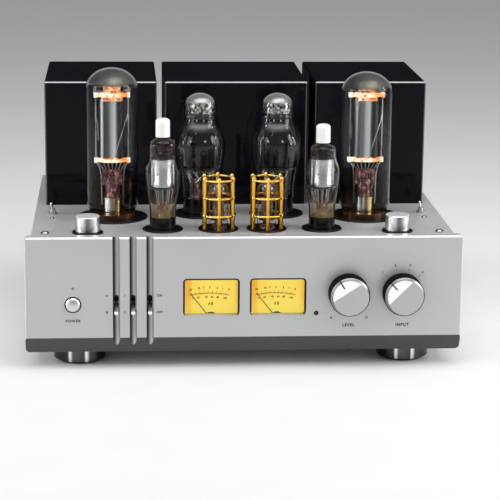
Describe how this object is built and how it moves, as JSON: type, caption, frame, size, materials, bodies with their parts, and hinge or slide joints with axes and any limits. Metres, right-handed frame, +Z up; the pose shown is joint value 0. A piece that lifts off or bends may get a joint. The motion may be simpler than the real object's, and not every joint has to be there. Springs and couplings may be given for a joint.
{
  "type": "tube power amplifier",
  "caption": "Tube power amplifier with a fluted metal front panel, lit meters, knobs and toggles, glass tubes on its deck and black transformer covers behind them.",
  "frame": {"origin": "middle of the whole object's footprint, on the surface it stands on", "axes": "+X to the right seen from the front, +Y to the back, +Z up"},
  "size_m": [0.46, 0.3914, 0.3037],
  "materials": {
    "anodised_panel": "satin",
    "satin_deck": "satin",
    "sheet_metal": "satin",
    "steel": "satin",
    "polished_metal": "polished",
    "turned_aluminium": "polished",
    "rubber": "matte",
    "gloss_black": "gloss",
    "lamination": "matte",
    "winding": "satin",
    "compound": "matte",
    "clear_glass": "polished",
    "brown_base": "satin",
    "black_base": "gloss",
    "grey_electrode": "matte",
    "black_electrode": "matte",
    "spacer": "matte",
    "ceramic": "gloss",
    "gold_plate": "polished",
    "black_plastic": "matte",
    "grey_control": "satin",
    "lamp": "gloss",
    "dial": "satin",
    "needle": "matte",
    "board": "satin",
    "capacitor": "gloss"
  },
  "bodies": {
    "amplifier": {"front_panel": "anodised_panel", "top_deck": "satin_deck", "side_walls": "sheet_metal", "rear_panel": "sheet_metal", "bottom_plate": "sheet_metal", "corner_posts": "satin_deck", "feet": "polished_metal", "foot_pads": "rubber", "chassis_screws": "steel", "left_cover": "gloss_black", "middle_cover": "gloss_black", "right_cover": "gloss_black", "transformer_cores": "lamination", "transformer_coils": "winding", "transformer_potting": "compound", "power_tube_bulbs": "clear_glass", "power_tube_bases": "brown_base", "power_tube_plates": "grey_electrode", "power_tube_spacers": "spacer", "power_tube_stems": "grey_electrode", "driver_tube_bulbs": "clear_glass", "driver_tube_bases": "black_base", "driver_tube_mounts": "black_electrode", "input_tube_bulbs": "clear_glass", "input_tube_bases": "black_base", "input_tube_mounts": "grey_electrode", "input_tube_caps": "ceramic", "buffer_tube_bulbs": "clear_glass", "buffer_tube_mounts": "grey_electrode", "tube_cages": "gold_plate", "tube_sockets": "ceramic", "socket_rings": "black_plastic", "volume_potentiometer": "grey_control", "selector_switch": "grey_control", "power_switch": "black_plastic", "toggle_switches": "black_plastic", "indicator_lenses": "lamp", "meter_cases": "black_plastic", "meter_dials": "dial", "meter_lenses": "clear_glass", "bias_controls": "grey_control", "mains_inlet": "black_plastic", "input_jacks": "gold_plate", "speaker_posts": "gold_plate", "circuit_board": "board", "filter_capacitors": "capacitor"},
    "volume_control": {"volume_knob": "turned_aluminium", "volume_shaft": "steel"},
    "selector_control": {"selector_knob": "turned_aluminium", "selector_shaft": "steel"},
    "power_button": {"power_button": "turned_aluminium"},
    "left_toggle_lever": {"left_toggle_lever": "polished_metal"},
    "middle_toggle_lever": {"middle_toggle_lever": "polished_metal"},
    "right_toggle_lever": {"right_toggle_lever": "polished_metal"},
    "left_meter_needle": {"left_meter_needle": "needle"},
    "right_meter_needle": {"right_meter_needle": "needle"},
    "left_bias_knob": {"left_bias_knob": "turned_aluminium"},
    "right_bias_knob": {"right_bias_knob": "turned_aluminium"},
    "left_bias_lever": {"left_bias_lever": "polished_metal"},
    "right_bias_lever": {"right_bias_lever": "polished_metal"}
  },
  "joints": [
    {"name": "volume_turn", "type": "hinge", "parent": "amplifier", "child": "volume_control", "pos_m": [0.109, -0.17455, 0.0812], "axis": [0, 1, 0], "range_deg": [-117, 183]},
    {"name": "selector_turn", "type": "hinge", "parent": "amplifier", "child": "selector_control", "pos_m": [0.1663, -0.17455, 0.0812], "axis": [0, 1, 0], "range_deg": [0, 90]},
    {"name": "power_press", "type": "slide", "parent": "amplifier", "child": "power_button", "axis": [0, 1, 0], "range_m": [0, 0.003], "stiffness_N_per_m": 600, "springref_m": -0.001},
    {"name": "left_toggle_flip", "type": "hinge", "parent": "amplifier", "child": "left_toggle_lever", "pos_m": [-0.1346, -0.15855, 0.0685], "axis": [-1, 0, 0], "range_deg": [0, 30]},
    {"name": "middle_toggle_flip", "type": "hinge", "parent": "amplifier", "child": "middle_toggle_lever", "pos_m": [-0.117, -0.15855, 0.0685], "axis": [-1, 0, 0], "range_deg": [0, 30]},
    {"name": "right_toggle_flip", "type": "hinge", "parent": "amplifier", "child": "right_toggle_lever", "pos_m": [-0.0994, -0.15855, 0.0685], "axis": [-1, 0, 0], "range_deg": [0, 30]},
    {"name": "left_needle_swing", "type": "hinge", "parent": "amplifier", "child": "left_meter_needle", "pos_m": [-0.0351, -0.15855, 0.0495], "axis": [0, 1, 0], "range_deg": [0, 76], "stiffness_Nm_per_rad": 0.0002, "springref_deg": -11.46},
    {"name": "right_needle_swing", "type": "hinge", "parent": "amplifier", "child": "right_meter_needle", "pos_m": [0.0351, -0.15855, 0.0495], "axis": [0, 1, 0], "range_deg": [0, 76], "stiffness_Nm_per_rad": 0.0002, "springref_deg": -11.46},
    {"name": "left_bias_turn", "type": "hinge", "parent": "amplifier", "child": "left_bias_knob", "pos_m": [-0.1644, -0.13915, 0.1395], "axis": [0, 0, 1], "range_deg": [-135, 135]},
    {"name": "right_bias_turn", "type": "hinge", "parent": "amplifier", "child": "right_bias_knob", "pos_m": [0.1644, -0.13915, 0.1395], "axis": [0, 0, 1], "range_deg": [-135, 135]},
    {"name": "left_bias_flip", "type": "hinge", "parent": "amplifier", "child": "left_bias_lever", "pos_m": [-0.204, -0.04615, 0.143], "axis": [0, 1, 0], "range_deg": [0, 24]},
    {"name": "right_bias_flip", "type": "hinge", "parent": "amplifier", "child": "right_bias_lever", "pos_m": [0.204, -0.04615, 0.143], "axis": [0, 1, 0], "range_deg": [0, 24]}
  ]
}
